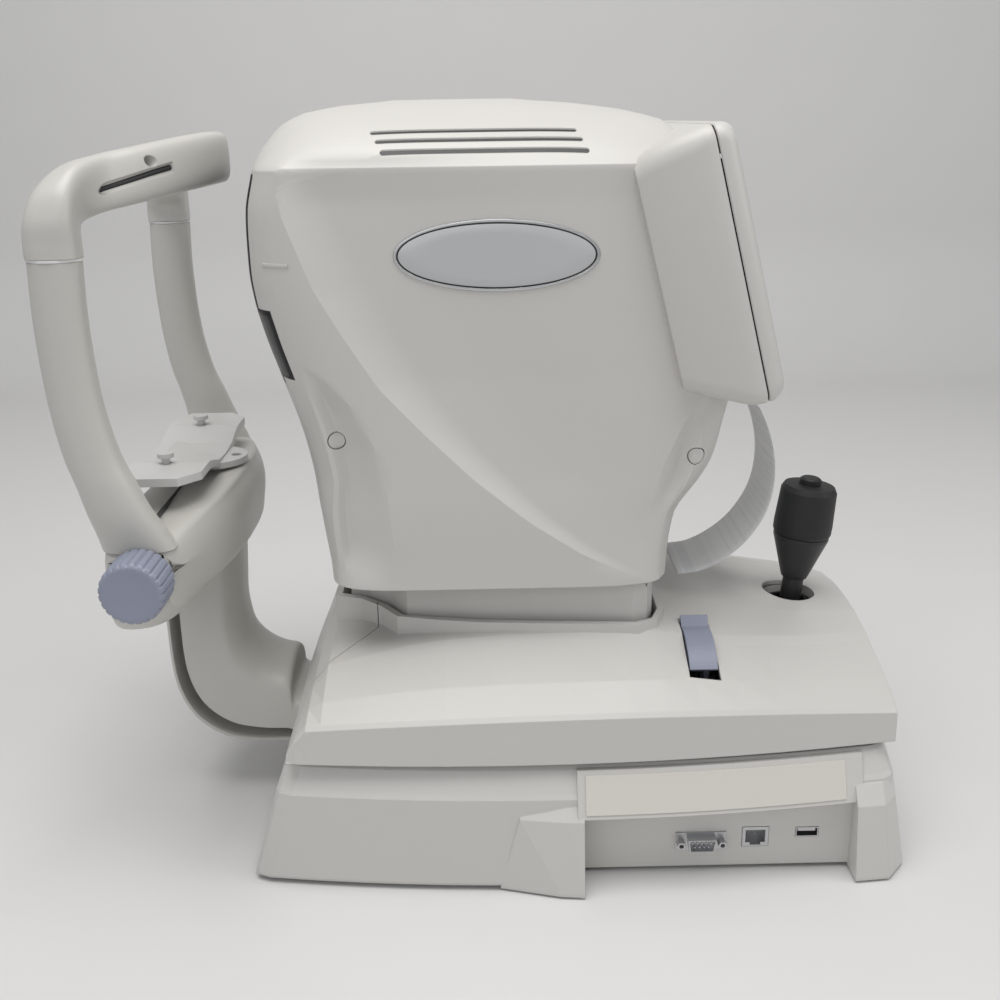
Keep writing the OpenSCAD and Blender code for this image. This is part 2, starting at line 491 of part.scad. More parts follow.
// ---------- joystick, drawn along its own leaning axis from the ball centre ----------
module on_stick() {
  translate([stick_x, 0, ball_z]) rotate([0, stick_lean, 0]) children();
}
module joystick_gimbal() color("gray") translate([stick_x, 0, ball_z - 1.5]) difference() {
  cylinder(r = 16.8, h = 3, $fn = 96);
  translate([0, 0, -1]) cylinder(r = 14.4, h = 6, $fn = 96);
}
module joystick_stem() color("black") on_stick() {
  sphere(r = ball_r, $fn = 96);
  translate([0, 0, -21]) cylinder(r = 4.5, h = 20, $fn = 40);
  translate([0, 0, -21]) sphere(r = 6, $fn = 48);
  cylinder(r = 7, h = 36, $fn = 64);
  rotate_extrude($fn = 96) polygon([[0, 33], [8.6, 33], [9.4, 35], [18.4, 62], [18.4, 64], [0, 64]]);
  cylinder(r = 6, h = 87, $fn = 64);
}
module joystick_grip() color("black") on_stick() difference() {
  rotate_extrude($fn = 96) polygon([[0, 64.4], [grip_r - 0.6, 64.4], [grip_r + 0.3, 66.5], [grip_r + 0.4, 72], [grip_r - 0.6, 95], [grip_r - 2.4, 98.4], [0, 99.5]]);
  translate([0, 0, 60]) cylinder(r = 6 + fit, h = 28, $fn = 64);
  translate([0, 0, 91]) cylinder(r = button_r + 0.05, h = 20, $fn = 64);
}
module measuring_button() color("dimgray") on_stick() translate([0, 0, 94]) {
  cylinder(r = button_r, h = 8.6, $fn = 64);
  translate([0, 0, 8.5]) cylinder(r1 = button_r, r2 = button_r - 1.4, h = 1.2, $fn = 64);
}

// ---------- measuring head ----------
// [z, front x, rear x, half width, squareness]
head_table = [[172, -106, 104, 88, 4.5], [182, -107, 106, 90, 4.5], [214, -111, 110, 91, 4.5], [240, -115, 130, 92, 5], [268, -121, 138, 92, 5],
  [300, -131, 144, 92, 5], [330, -140, 140, 92, 5], [365, -145, 131, 92, 5], [395, -144, 122, 92, 5], [416, -139, 116, 92, 5],
  [424, -136, 113, 84, 4.5], [432, -131, 108, 74, 4], [440, -124, 98, 61, 3.6], [446, -112, 74, 46, 3.2], [450, -90, 44, 30, 2.8], [452.6, -60, 12, 13, 2.4]];
module head_body(d) {
  loft([for (h = head_table) soft_ring(h[1] + d, h[2] - d, max(h[3] - d, 8), h[0] - (h[0] > 420 ? d : 0) - (h[0] < 173 ? d : 0), h[4])]);
}
// Plane of the bezel seam, which leans back with the screen
function seam_x(z) = 152 - seam_drop * (z - 289);
module screen_side(g) {
  rotate([90, 0, 0]) linear_extrude(big, center = true) polygon([[seam_x(150) + g, 150], [big, 150], [big, 520], [seam_x(520) + g, 520]]);
}
module monitor_box(d) {
  hull() {
    rotate([90, 0, 0]) linear_extrude(2 * (97 - d), center = true) polygon([[116 + d, 285 + d], [150 - d * 0.3, 285 + d], [152, 289], [seam_x(441), 441 - d], [78 + d, 434 - d]]);
    rotate([90, 0, 0]) linear_extrude(2 * (box_half - d), center = true) polygon([[142, 287 + d], [150, 287 + d], [seam_x(289), 289 + d], [seam_x(438), 438 - d], [106, 436 - d]]);
  }
}
module vents() {
  for (k = [0:2]) rotate([0, 3.4, 0]) translate([-66 + 3 * k, -130, 432.6 - 5.4 * k]) cube([112, 120, 2.6]);
}
module head_shell() difference() {
  union() {
    difference() {
      head_body(0);
      screen_side(0);
    }
    monitor_box(0);
  }
  difference() {
    head_body(wall);
    screen_side(-wall);
  }
  difference() {
    monitor_box(wall);
    screen_side(5);
  }
  rotate([90, 0, 0]) linear_extrude(192, center = true) polygon([[seam_x(294) - 8, 294], [seam_x(294) + 20, 294], [seam_x(432) + 20, 432], [seam_x(432) - 8, 432]]);
  // open bottom for the lift collar
  translate([0, 0, 160]) linear_extrude(20) polygon([[-103, -60], [-84, -84], [84, -87], [100, -70], [100, 70], [84, 87], [-84, 84], [-103, 60]]);
  // front opening for the black bezel
  translate([-200, -66, 296]) cube([100, 132, 118]);
  // paper outlet and printer door opening at the rear
  translate([90, -41, 216]) cube([80, 82, 69]);
  both_sides() vents();
  both_sides() for (p = [[-95, 264], [116, 251]]) translate([p[0], -big, p[1]]) rotate([-90, 0, 0]) cylinder(r = 5.2, h = big - 60, $fn = 48);
}
module head_shell_right() color("gainsboro") intersection() {
  head_shell();
  translate([-big, -big - 0.1, 0]) cube([big * 2, big, big * 2]);
}
module head_shell_left() color("gainsboro") mirror([0, 1, 0]) head_shell_right();
module monitor_bezel() color("gainsboro") difference() {
  hull() {
    rotate([90, 0, 0]) linear_extrude(2 * (box_half - 0.2), center = true) polygon([[seam_x(289) + 0.4, 289], [seam_x(438) + 0.4, 438], [seam_x(436) + 5, 436.6], [seam_x(291) + 5, 289.6]]);
    rotate([90, 0, 0]) linear_extrude(2 * (box_half - 5), center = true) polygon([[seam_x(294) + 5, 293], [seam_x(434) + 5, 434], [seam_x(432) + 11, 433], [seam_x(300) + 11, 299]]);
  }
  rotate([90, 0, 0]) linear_extrude(176, center = true) polygon([[seam_x(306) - 5, 306], [seam_x(306) + 20, 306], [seam_x(420) + 20, 420], [seam_x(420) - 5, 420]]);
}
module screen_panel() color("black") rotate([90, 0, 0]) linear_extrude(175, center = true) polygon([[seam_x(306.5) - 2, 306.5], [seam_x(306.5) + 8.6, 306.5],
  [seam_x(419.5) + 8.6, 419.5], [seam_x(419.5) - 2, 419.5]]);
module front_bezel() color("black") difference() {
  intersection() {
    head_body(0.8);
    translate([-200, -65.7, 296.3]) cube([100, 131.4, 117.4]);
  }
  head_body(3.4);
  translate([-170, 0, axis_z]) rotate([0, 90, 0]) cylinder(r = window_r, h = 60, $fn = 96);
}
module measuring_window() color("black") translate([-143.4, 0, axis_z]) rotate([0, 90, 0]) cylinder(r = window_r - 0.2, h = 2, $fn = 96);
module objective_unit() color("dimgray") translate([0, 0, axis_z]) rotate([0, 90, 0]) {
  difference() {
    translate([0, 0, -136]) cylinder(r1 = 29, r2 = 34, h = 24, $fn = 96);
    translate([0, 0, -137]) cylinder(r1 = 26, r2 = 12, h = 20, $fn = 96);
  }
  translate([0, 0, -116]) cylinder(r = 12, h = 6, $fn = 64);
  translate([0, 0, -112.2]) cylinder(r = 30, h = 60, $fn = 64);
  // casting of the refraction and keratometry optics
  translate([-42, -50, -54]) cube([84, 100, 110]);
  translate([40, -30, -40]) cube([66, 60, 60]);
}
module head_chassis() color("gray") difference() {
  union() {
    translate([0, 0, 184]) linear_extrude(4) polygon([[-84, -20], [-66, -40], [-52, -54], [-10, -61], [84, -66], [84, 66], [-10, 61], [-52, 54], [-66, 40], [-84, 20]]);
    for (s = [-1, 1]) translate([-45, s * 40, 184]) cylinder(r = 10, h = 20, $fn = 64);
    translate([10, 0, 184]) cylinder(r = 14, h = 20, $fn = 64);
    for (s = [-1, 1]) translate([-46, s * 55 - 3, 187.9]) cube([110, 6, 70.2]);
    translate([-60, -60, 254]) cube([116, 120, 4]);
  }
  for (s = [-1, 1]) translate([-45, s * 40, 180]) cylinder(r = 5 + fit, h = 60, $fn = 64);
  translate([10, 0, 180]) cylinder(r = 6 + fit, h = 60, $fn = 64);
  translate([34, -24, 180]) cube([44, 48, 20]);
}
module control_board() color("darkgreen") {
  translate([66, -76, 300]) cube([1.8, 152, 100]);
  translate([67.6, -40, 330]) cube([5, 34, 34]);
  translate([67.6, 14, 340]) cube([7, 40, 20]);
  for (k = [0:3]) translate([67.6, -60, 310 + k * 18]) cube([10, 10, 10]);
}
module oval_badges() color("silver") both_sides() translate([0, -head_half - 0.15, 370]) rotate([90, 0, 0]) linear_extrude(0.9)
  polygon([for (k = [0:59]) [badge_a * cos(6 * k), badge_b * sin(6 * k)]]);
// Plan curve of the head flank at eye level
function flank_y(x) = 92 * pow(1 - pow(abs((x + 7) / 138), 5), 0.2);
module shell_trim() color("white") both_sides() {
  // screw caps
  for (p = [[-95, 264, 86], [116, 251, 86]]) translate([p[0], -p[2], p[1]]) rotate([-90, 0, 0]) cylinder(r = 5, h = 10, $fn = 48);
  // eye-level rib on the flank
  translate([0, 0, 365]) linear_extrude(2.2) polygon(concat([for (x = [-131:2:-115]) [x, -flank_y(x) - 1.3]], [for (x = [-115:-2:-131]) [x, -flank_y(x) - 0.1]]));
}
module printer_unit() color("dimgray") difference() {
  translate([58, -36, 219]) cube([48, 72, 58]);
  translate([84, 0, 246]) rotate([90, 0, 0]) cylinder(r = 22, h = 61, center = true, $fn = 64);
  translate([84, -30.5, 224]) cube([40, 61, 44]);
}
module paper_roll() color("white") translate([84, 0, 246]) rotate([90, 0, 0]) difference() {
  cylinder(r = 19, h = 57.5, center = true, $fn = 96);
  cylinder(r = 6.2, h = 60, center = true, $fn = 64);
}
// Free end of the printout: [x, z] down its curl
paper_path = [[128, 281.5], [149, 281], [162, 270], [171, 252], [176, 232], [176, 212], [171, 194], [160, 177], [146, 165], [131, 157.5], [116, 155.5]];
module paper_strip() color("white") rotate([90, 0, 0]) linear_extrude(57.5, center = true) polygon(concat(paper_path,
  [for (i = [10:-1:0]) let (a = paper_path[max(i - 1, 0)], b = paper_path[min(i + 1, 10)], d = b - a, l = norm(d)) paper_path[i] + 0.35 * [d[1], -d[0]] / l]));
module printer_door() color("gainsboro") difference() {
  intersection() {
    head_body(0.4);
    translate([90, -40.5, 218.5]) cube([80, 81, 59]);
  }
  head_body(3);
}

base_housing();
base_plate();
rubber_feet();
serial_port();
lan_port();
usb_port();
port_label();
power_inlet();
power_supply();
main_board();
stage_racks();
friction_plate();
chinrest_column();
column_cover();
chinrest_yoke();
post_right();
post_left();
forehead_bar();
forehead_pad();
eye_level_rings();
power_rocker();
chinrest_carrier();
chinrest_plate();
paper_pins();
chinrest_screw();
chinrest_knob();
cross_frame();
cross_axle();
carriage_cover();
front_cover();
carriage_plate();
linear_bearings();
lift_collar();
lift_guides();
lift_motor();
joystick_socket();
joystick_boot();
lock_bracket();
lock_lever();
lift_screw();
joystick_gimbal();
joystick_stem();
joystick_grip();
measuring_button();
head_shell_right();
head_shell_left();
monitor_bezel();
screen_panel();
front_bezel();
measuring_window();
objective_unit();
head_chassis();
control_board();
oval_badges();
shell_trim();
printer_unit();
paper_strip();
paper_roll();
printer_door();
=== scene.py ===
"""Desktop auto kerato-refractometer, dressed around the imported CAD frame.

The shapes are written in millimetres and placed in metres, with +X toward the operator and +Z up.
"""
import json
import math

import bmesh
import bpy
from mathutils import Matrix, Vector


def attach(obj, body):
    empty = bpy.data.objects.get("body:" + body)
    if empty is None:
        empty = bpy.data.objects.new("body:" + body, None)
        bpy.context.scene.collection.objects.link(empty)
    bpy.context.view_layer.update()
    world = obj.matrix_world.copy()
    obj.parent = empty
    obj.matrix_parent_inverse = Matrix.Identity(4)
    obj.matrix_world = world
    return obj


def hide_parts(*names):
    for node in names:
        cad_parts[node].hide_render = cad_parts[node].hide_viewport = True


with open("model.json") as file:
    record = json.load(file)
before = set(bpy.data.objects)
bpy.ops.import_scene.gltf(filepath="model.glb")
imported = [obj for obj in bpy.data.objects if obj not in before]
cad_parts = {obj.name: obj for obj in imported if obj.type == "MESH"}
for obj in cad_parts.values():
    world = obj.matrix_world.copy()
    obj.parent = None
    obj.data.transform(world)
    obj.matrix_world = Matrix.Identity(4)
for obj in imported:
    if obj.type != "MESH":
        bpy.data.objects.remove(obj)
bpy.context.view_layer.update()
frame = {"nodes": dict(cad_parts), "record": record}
NODES = frame["nodes"]
MM = 0.001
PI = math.pi


# ---------------------------------------------------------------- helpers
def at(x, y, z):
    """A point given in millimetres, in the row frame."""
    return Vector((x * MM, y * MM, z * MM))


def smooth_mesh(mesh, angle=34.0):
    mesh.shade_smooth()
    mesh.set_sharp_from_angle(angle=math.radians(angle))


def make_object(name, mesh, body, material):
    obj = bpy.data.objects.new(name, mesh)
    bpy.context.scene.collection.objects.link(obj)
    if material is not None:
        mesh.materials.append(material)
    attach(obj, body)
    return obj


def faces_mesh(name, points, faces, angle=34.0):
    mesh = bpy.data.meshes.new(name)
    mesh.from_pydata([tuple(p) for p in points], [], faces)
    mesh.validate()
    bm = bmesh.new()
    bm.from_mesh(mesh)
    bmesh.ops.remove_doubles(bm, verts=bm.verts, dist=1e-6)
    bmesh.ops.recalc_face_normals(bm, faces=bm.faces)
    bm.to_mesh(mesh)
    bm.free()
    smooth_mesh(mesh, angle)
    return mesh


def ring_mesh(name, rings, angle=34.0, caps=True):
    """A skin through rings of equal point counts, in millimetres."""
    n = len(rings[0])
    points = [at(*p) for ring in rings for p in ring]
    faces = []
    for i in range(len(rings) - 1):
        for j in range(n):
            k = (j + 1) % n
            faces.append((i * n + j, i * n + k, (i + 1) * n + k, (i + 1) * n + j))
    if caps:
        faces.append(tuple(range(n)))
        faces.append(tuple((len(rings) - 1) * n + j for j in range(n)))
    return faces_mesh(name, points, faces, angle)


def catmull(values, t):
    """Smooth value at parameter t along a list of equally indexed control tuples."""
    last = len(values) - 1
    i = min(int(t), last - 1)
    f = t - i
    a = values[max(i - 1, 0)]
    b, c = values[i], values[i + 1]
    d = values[min(i + 2, last)]
    out = []
    for p, q, r, s in zip(a, b, c, d):
        out.append(0.5 * (2 * q + (r - p) * f + (2 * p - 5 * q + 4 * r - s) * f * f
                          + (3 * q - p - 3 * r + s) * f ** 3))
    return out


def refine(values, steps):
    """Each control interval split into steps smooth parts."""
    count = (len(values) - 1) * steps
    return [catmull(values, i / steps) for i in range(count)] + [list(values[-1])]


def look(x, table):
    """Linear look-up in a short table of (x, value) pairs in rising x."""
    if x <= table[0][0]:
        return table[0][1]
    for (xa, va), (xb, vb) in zip(table, table[1:]):
        if x <= xb:
            return va + (vb - va) * (x - xa) / (xb - xa)
    return table[-1][1]


def soft_look(x, table):
    """Smooth look-up in a short table of (x, value) pairs in rising x."""
    if x <= table[0][0]:
        return table[0][1]
    if x >= table[-1][0]:
        return table[-1][1]
    for i in range(len(table) - 1):
        if x <= table[i + 1][0]:
            share = (x - table[i][0]) / (table[i + 1][0] - table[i][0])
            return catmull([(v,) for _, v in table], i + share)[0]
    return table[-1][1]


def step(a, b, x):
    t = max(0.0, min(1.0, (x - a) / (b - a)))
    return t * t * (3 - 2 * t)


def superellipse(angle, half_x, half_y, squareness):
    c, s = math.cos(angle), math.sin(angle)
    x = math.copysign(abs(c) ** (2 / squareness), c) * half_x
    y = math.copysign(abs(s) ** (2 / squareness), s) * half_y
    return x, y


def apply_modifiers(obj):
    """Bakes the object's modifiers into its mesh."""
    bpy.context.view_layer.update()
    graph = bpy.context.evaluated_depsgraph_get()
    mesh = bpy.data.meshes.new_from_object(obj.evaluated_get(graph))
    obj.modifiers.clear()
    obj.data = mesh


def cut(obj, cutters, angle=34.0):
    """Takes closed cutter objects out of obj and removes them."""
    for cutter in cutters:
        modifier = obj.modifiers.new("cut", "BOOLEAN")
        modifier.object = cutter
        modifier.solver = "EXACT"
    apply_modifiers(obj)
    for cutter in cutters:
        bpy.data.objects.remove(cutter)
    smooth_mesh(obj.data, angle)


def circle(x, y, radius, count):
    """Points of a circle in the plane of its two coordinates."""
    turns = [2 * PI * i / count for i in range(count)]
    return [(x + radius * math.cos(a), y + radius * math.sin(a)) for a in turns]


def plain_object(name, mesh):
    obj = bpy.data.objects.new(name, mesh)
    bpy.context.scene.collection.objects.link(obj)
    return obj


def prism(name, outline, low, high, plane="xy"):
    """A closed prism from an outline in millimetres, for cutters and small pieces."""
    def place(a, b, c):
        return {"xy": (a, b, c), "xz": (a, c, b), "yz": (c, a, b)}[plane]
    return ring_mesh(name, [[place(a, b, low) for a, b in outline], [place(a, b, high) for a, b in outline]])


def bevelled(obj, width, segments=3, limit=40.0):
    modifier = obj.modifiers.new("edge", "BEVEL")
    modifier.width = width * MM
    modifier.segments = segments
    modifier.limit_method = "ANGLE"
    modifier.angle_limit = math.radians(limit)
    modifier.harden_normals = False
    return obj


# ---------------------------------------------------------------- materials
def material(name, colour, rough, metal=0.0):
    mat = bpy.data.materials.new(name)
    mat.use_nodes = True
    shader = mat.node_tree.nodes["Principled BSDF"]
    shader.inputs["Base Color"].default_value = (*colour, 1)
    shader.inputs["Roughness"].default_value = rough
    shader.inputs["Metallic"].default_value = metal
    return mat, mat.node_tree, shader


def surface_detail(tree, shader, colour, rough, grain, grain_size, mottle, edge, stretch=(1, 1, 1)):
    """Fine grain, faint mottling of colour and gloss, and rounded edges."""
    spread = 0.08
    nodes, links = tree.nodes, tree.links
    coord = nodes.new("ShaderNodeTexCoord")
    mapping = nodes.new("ShaderNodeMapping")
    mapping.inputs["Scale"].default_value = stretch
    links.new(coord.outputs["Object"], mapping.inputs["Vector"])
    fine = nodes.new("ShaderNodeTexNoise")
    fine.inputs["Scale"].default_value = 1 / (grain_size * MM)
    fine.inputs["Detail"].default_value = 2.0
    links.new(mapping.outputs["Vector"], fine.inputs["Vector"])
    wide = nodes.new("ShaderNodeTexNoise")
    wide.inputs["Scale"].default_value = 14.0
    wide.inputs["Detail"].default_value = 5.0
    links.new(coord.outputs["Object"], wide.inputs["Vector"])
    ramp = nodes.new("ShaderNodeMix")
    ramp.data_type = "RGBA"
    ramp.inputs["A"].default_value = (*[c * (1 - mottle) for c in colour], 1)
    ramp.inputs["B"].default_value = (*[min(1, c * (1 + mottle)) for c in colour], 1)
    links.new(wide.outputs["Fac"], ramp.inputs["Factor"])
    links.new(ramp.outputs["Result"], shader.inputs["Base Color"])
    gloss = nodes.new("ShaderNodeMapRange")
    gloss.inputs["To Min"].default_value = max(0.02, rough - spread)
    gloss.inputs["To Max"].default_value = min(1.0, rough + spread)
    links.new(wide.outputs["Fac"], gloss.inputs["Value"])
    links.new(gloss.outputs["Result"], shader.inputs["Roughness"])
    bump = nodes.new("ShaderNodeBump")
    bump.inputs["Strength"].default_value = grain
    bump.inputs["Distance"].default_value = 0.15 * MM
    links.new(fine.outputs["Fac"], bump.inputs["Height"])
    if edge:
        soft = nodes.new("ShaderNodeBevel")
        soft.samples = 4
        soft.inputs["Radius"].default_value = edge * MM
        links.new(soft.outputs["Normal"], bump.inputs["Normal"])
    links.new(bump.outputs["Normal"], shader.inputs["Normal"])
    return wide


def plastic(name, colour, rough=0.42, grain=0.22, grain_size=0.9, mottle=0.02, edge=0.9, coat=0.0):
    mat, tree, shader = material(name, colour, rough)
    surface_detail(tree, shader, colour, rough, grain, grain_size, mottle, edge)
    if coat:
        shader.inputs["Coat Weight"].default_value = coat
        shader.inputs["Coat Roughness"].default_value = 0.06
    return mat


def metal(name, colour, rough=0.3, grain=0.25, stretch=(1, 1, 30), edge=0.25):
    mat, tree, shader = material(name, colour, rough, 1.0)
    surface_detail(tree, shader, colour, rough, grain, 1.4, 0.06, edge, stretch)
    return mat


def circuit(name):
    colour = (0.02, 0.16, 0.07)
    mat, tree, shader = material(name, colour, 0.35)
    surface_detail(tree, shader, colour, 0.35, 0.1, 1.0, 0.1, 0.2)
    nodes, links = tree.nodes, tree.links
    coord = nodes.new("ShaderNodeTexCoord")
    tracks = nodes.new("ShaderNodeTexBrick")
    tracks.inputs["Scale"].default_value = 90.0
    tracks.inputs["Mortar Size"].default_value = 0.03
    tracks.inputs["Color1"].default_value = (0.02, 0.16, 0.07, 1)
    tracks.inputs["Color2"].default_value = (0.015, 0.12, 0.055, 1)
    tracks.inputs["Mortar"].default_value = (0.16, 0.30, 0.12, 1)
    links.new(coord.outputs["Object"], tracks.inputs["Vector"])
    links.new(tracks.outputs["Color"], shader.inputs["Base Color"])
    return mat


def printed_paper(name):
    """Thermal paper with faint generic print marks in rows."""
    colour = (0.78, 0.785, 0.79)
    mat, tree, shader = material(name, colour, 0.5)
    nodes, links = tree.nodes, tree.links
    wide = surface_detail(tree, shader, colour, 0.5, 0.12, 0.6, 0.02, 0)
    coord = nodes.new("ShaderNodeTexCoord")
    rows = nodes.new("ShaderNodeTexBrick")
    rows.inputs["Scale"].default_value = 60.0
    rows.inputs["Mortar Size"].default_value = 0.06
    rows.inputs["Color1"].default_value = (0, 0, 0, 1)
    rows.inputs["Color2"].default_value = (0.7, 0.7, 0.7, 1)
    rows.inputs["Mortar"].default_value = (1, 1, 1, 1)
    mapping = nodes.new("ShaderNodeMapping")
    mapping.inputs["Rotation"].default_value = (PI / 2, 0, 0)
    links.new(coord.outputs["Object"], mapping.inputs["Vector"])
    links.new(mapping.outputs["Vector"], rows.inputs["Vector"])
    mix = nodes.new("ShaderNodeMix")
    mix.data_type = "RGBA"
    mix.inputs["A"].default_value = (0.70, 0.71, 0.72, 1)
    mix.inputs["B"].default_value = (*colour, 1)
    links.new(rows.outputs["Color"], mix.inputs["Factor"])
    links.new(mix.outputs["Result"], shader.inputs["Base Color"])
    return mat


SHELL = plastic("shell_off_white", (0.60, 0.588, 0.558), 0.40, 0.20, 0.8, 0.015, 0.9)
SHELL_FRAME = plastic("shell_rest_frame", (0.55, 0.54, 0.505), 0.38, 0.20, 0.8, 0.015, 0.9)
CREAM = plastic("label_cream", (0.66, 0.64, 0.59), 0.45, 0.1, 0.6, 0.01, 0.3)
WHITE = plastic("white_plastic", (0.62, 0.615, 0.60), 0.35, 0.1, 0.8, 0.015, 0.5)
MARK = plastic("white_mark", (0.75, 0.75, 0.74), 0.4, 0.05, 0.8, 0.01, 0.2)
PAD = plastic("soft_pad", (0.55, 0.555, 0.55), 0.6, 0.35, 1.1, 0.02, 1.0)
BLACK = plastic("black_plastic", (0.018, 0.018, 0.02), 0.42, 0.3, 0.8, 0.05, 0.5)
GLOSS = plastic("gloss_black", (0.006, 0.006, 0.007), 0.34, 0.02, 2.0, 0.05, 0.4, 0.1)
RUBBER = plastic("black_rubber", (0.02, 0.02, 0.02), 0.7, 0.5, 1.0, 0.08, 0.4)
GRIP = plastic("grip_rubber", (0.012, 0.012, 0.013), 0.55, 0.6, 1.2, 0.08, 0.5)
BLUE = plastic("blue_grey_plastic", (0.27, 0.29, 0.37), 0.42, 0.15, 0.8, 0.03, 0.5)
SILVER = metal("badge_silver", (0.62, 0.625, 0.63), 0.34, 0.3, (30, 1, 1), 0.2)
PLATE = plastic("badge_plate", (0.52, 0.525, 0.53), 0.3, 0.05, 0.5, 0.02, 0.3, 0.3)
SOCKET = metal("socket_metal", (0.55, 0.55, 0.56), 0.32)
STEEL = metal("steel_plate", (0.42, 0.43, 0.44), 0.4)
TURNED = metal("turned_steel", (0.6, 0.61, 0.62), 0.22)
ALU = metal("sheet_aluminium", (0.66, 0.67, 0.68), 0.35)
ANODISED = metal("black_anodised", (0.03, 0.03, 0.033), 0.4)
CIRCUIT = circuit("circuit_board")
SCREEN = plastic("screen_glass", (0.006, 0.007, 0.009), 0.08, 0.01, 3.0, 0.1, 0.3, 1.0)
PAPER = printed_paper("thermal_paper")

SLOT_LOOKS = {
    "white_shell": SHELL, "white_plastic": WHITE, "cream_plastic": CREAM, "white_mark": MARK, "soft_pad": PAD,
    "cream_label": CREAM, "black_plastic": BLACK, "gloss_black": GLOSS, "black_rubber": RUBBER,
    "blue_grey_plastic": BLUE, "blue_grey_dark": GRIP, "silver_badge": SILVER, "socket_metal": SOCKET,
    "steel_plate": STEEL, "turned_steel": TURNED, "sheet_aluminium": ALU, "black_anodised": ANODISED,
    "circuit_board": CIRCUIT, "screen_glass": SCREEN, "thermal_paper": PAPER,
}
SLOT_OF = {part["node"]: part["material_slot"] for part in frame["record"]["subparts"]}
for node_name, node in NODES.items():
    node.data.materials.clear()
    node.data.materials.append(SLOT_LOOKS[SLOT_OF[node_name]])
for node_name in ("post_right", "post_left", "forehead_bar", "chinrest_yoke", "chinrest_column",
                  "column_cover"):
    NODES[node_name].data.materials[0] = SHELL_FRAME
NODES["chinrest_plate"].data.materials[0] = WHITE

# ---------------------------------------------------------------- measuring head
# Driving curves of the flank, each as (height, x): the crisp lower edge of the diagonal band, its soft upper
# edge, the rear edge of the front scoop and the front edge of the rear recess
BAND_LOW = [(172, 90), (194, 48), (215, 17), (242, -15), (272, -45), (297, -68),
            (327, -87), (353, -102), (392, -117), (410, -120), (433, -115)]
BAND_HIGH = [(172, 98), (196, 56), (226, 20), (258, -10), (292, -36), (320, -54),
             (348, -68), (373, -80), (400, -92), (433, -100)]
SCOOP = [(172, -63), (204, -64), (233, -66), (260, -71), (286, -84), (302, -98), (313, -117), (330, -124)]
RECESS = [(172, 88), (218, 89), (247, 96), (273, 108), (289, 121), (300, 128)]
# Outline by height: front and rear x, half width, and how square the plan is
FRONT_X = [(172, -106), (214, -111), (240, -115), (268, -121), (300, -131), (330, -140), (350, -144),
           (365, -145), (395, -144), (416, -139), (424, -136), (432, -131), (440, -124), (446, -112),
           (450, -90), (452.6, -60)]
REAR_X = [(172, 104), (214, 110), (240, 130), (268, 138), (300, 144), (330, 140), (365, 131), (395, 122),
          (416, 116), (424, 113), (432, 108), (440, 98), (446, 74), (450, 44), (452.6, 12)]
HALF_Y = [(172, 88), (214, 91), (240, 92), (417, 92), (420, 88.5), (424, 84), (432, 74), (440, 61),
          (446, 46), (450, 30), (452.6, 13)]
SQUARE = [(172, 7), (182, 6.5), (214, 6), (240, 5), (416, 5), (424, 4.5), (432, 4), (440, 3.6),
          (446, 3.2), (450, 2.8), (452.6, 2.4)]
FRONT_HALF = 66.0
DOOR_HALF = 40.5


def flank_depth(x, z):
    """How far the flank is set in from its proudest skin."""
    low, high = look(z, BAND_LOW), look(z, BAND_HIGH)
    fall = look(z, [(176, 0.0), (200, 3.0), (240, 6.5), (300, 8.5), (400, 7.0), (418, 4.0), (424, 0)])
    band = step(0, 1, (x - low) / max(high - low, 1) * 0.5 + 0.5) * 2 - 1 if x > low else 0.0
    relief = 1.0 - 0.55 * step(20, 120, x - high)
    depth = fall * max(0.0, min(1.0, band)) * relief
    front = look(z, SCOOP) - x
    if front > 0:
        depth += 9.5 * (1 - math.exp(-(front / 13.0) ** 1.4)) * step(322, 286, z) * step(172, 200, z)
    rear = x - look(z, RECESS)
    if rear > 0 and z < 292:
        depth += 9.0 * (1 - math.exp(-(rear / 9.0) ** 1.3)) * step(298, 276, z) * step(172, 196, z)
    return depth


def flank_y(x, z):
    """Half width of the finished skin at a point of the flank."""
    front, rear = soft_look(z, FRONT_X), soft_look(z, REAR_X)
    half, square = soft_look(z, HALF_Y), look(z, SQUARE)
    mid, reach = (front + rear) / 2, (rear - front) / 2
    turn = reach * (1 - 0.88 ** square) ** (1 / square)
    return (half * max(0.0, 1 - abs((x - mid) / reach) ** square) ** (1 / square)
            - flank_depth(x, z) * step(0, 10, x - mid + turn) * step(0, 12, mid + turn - x))


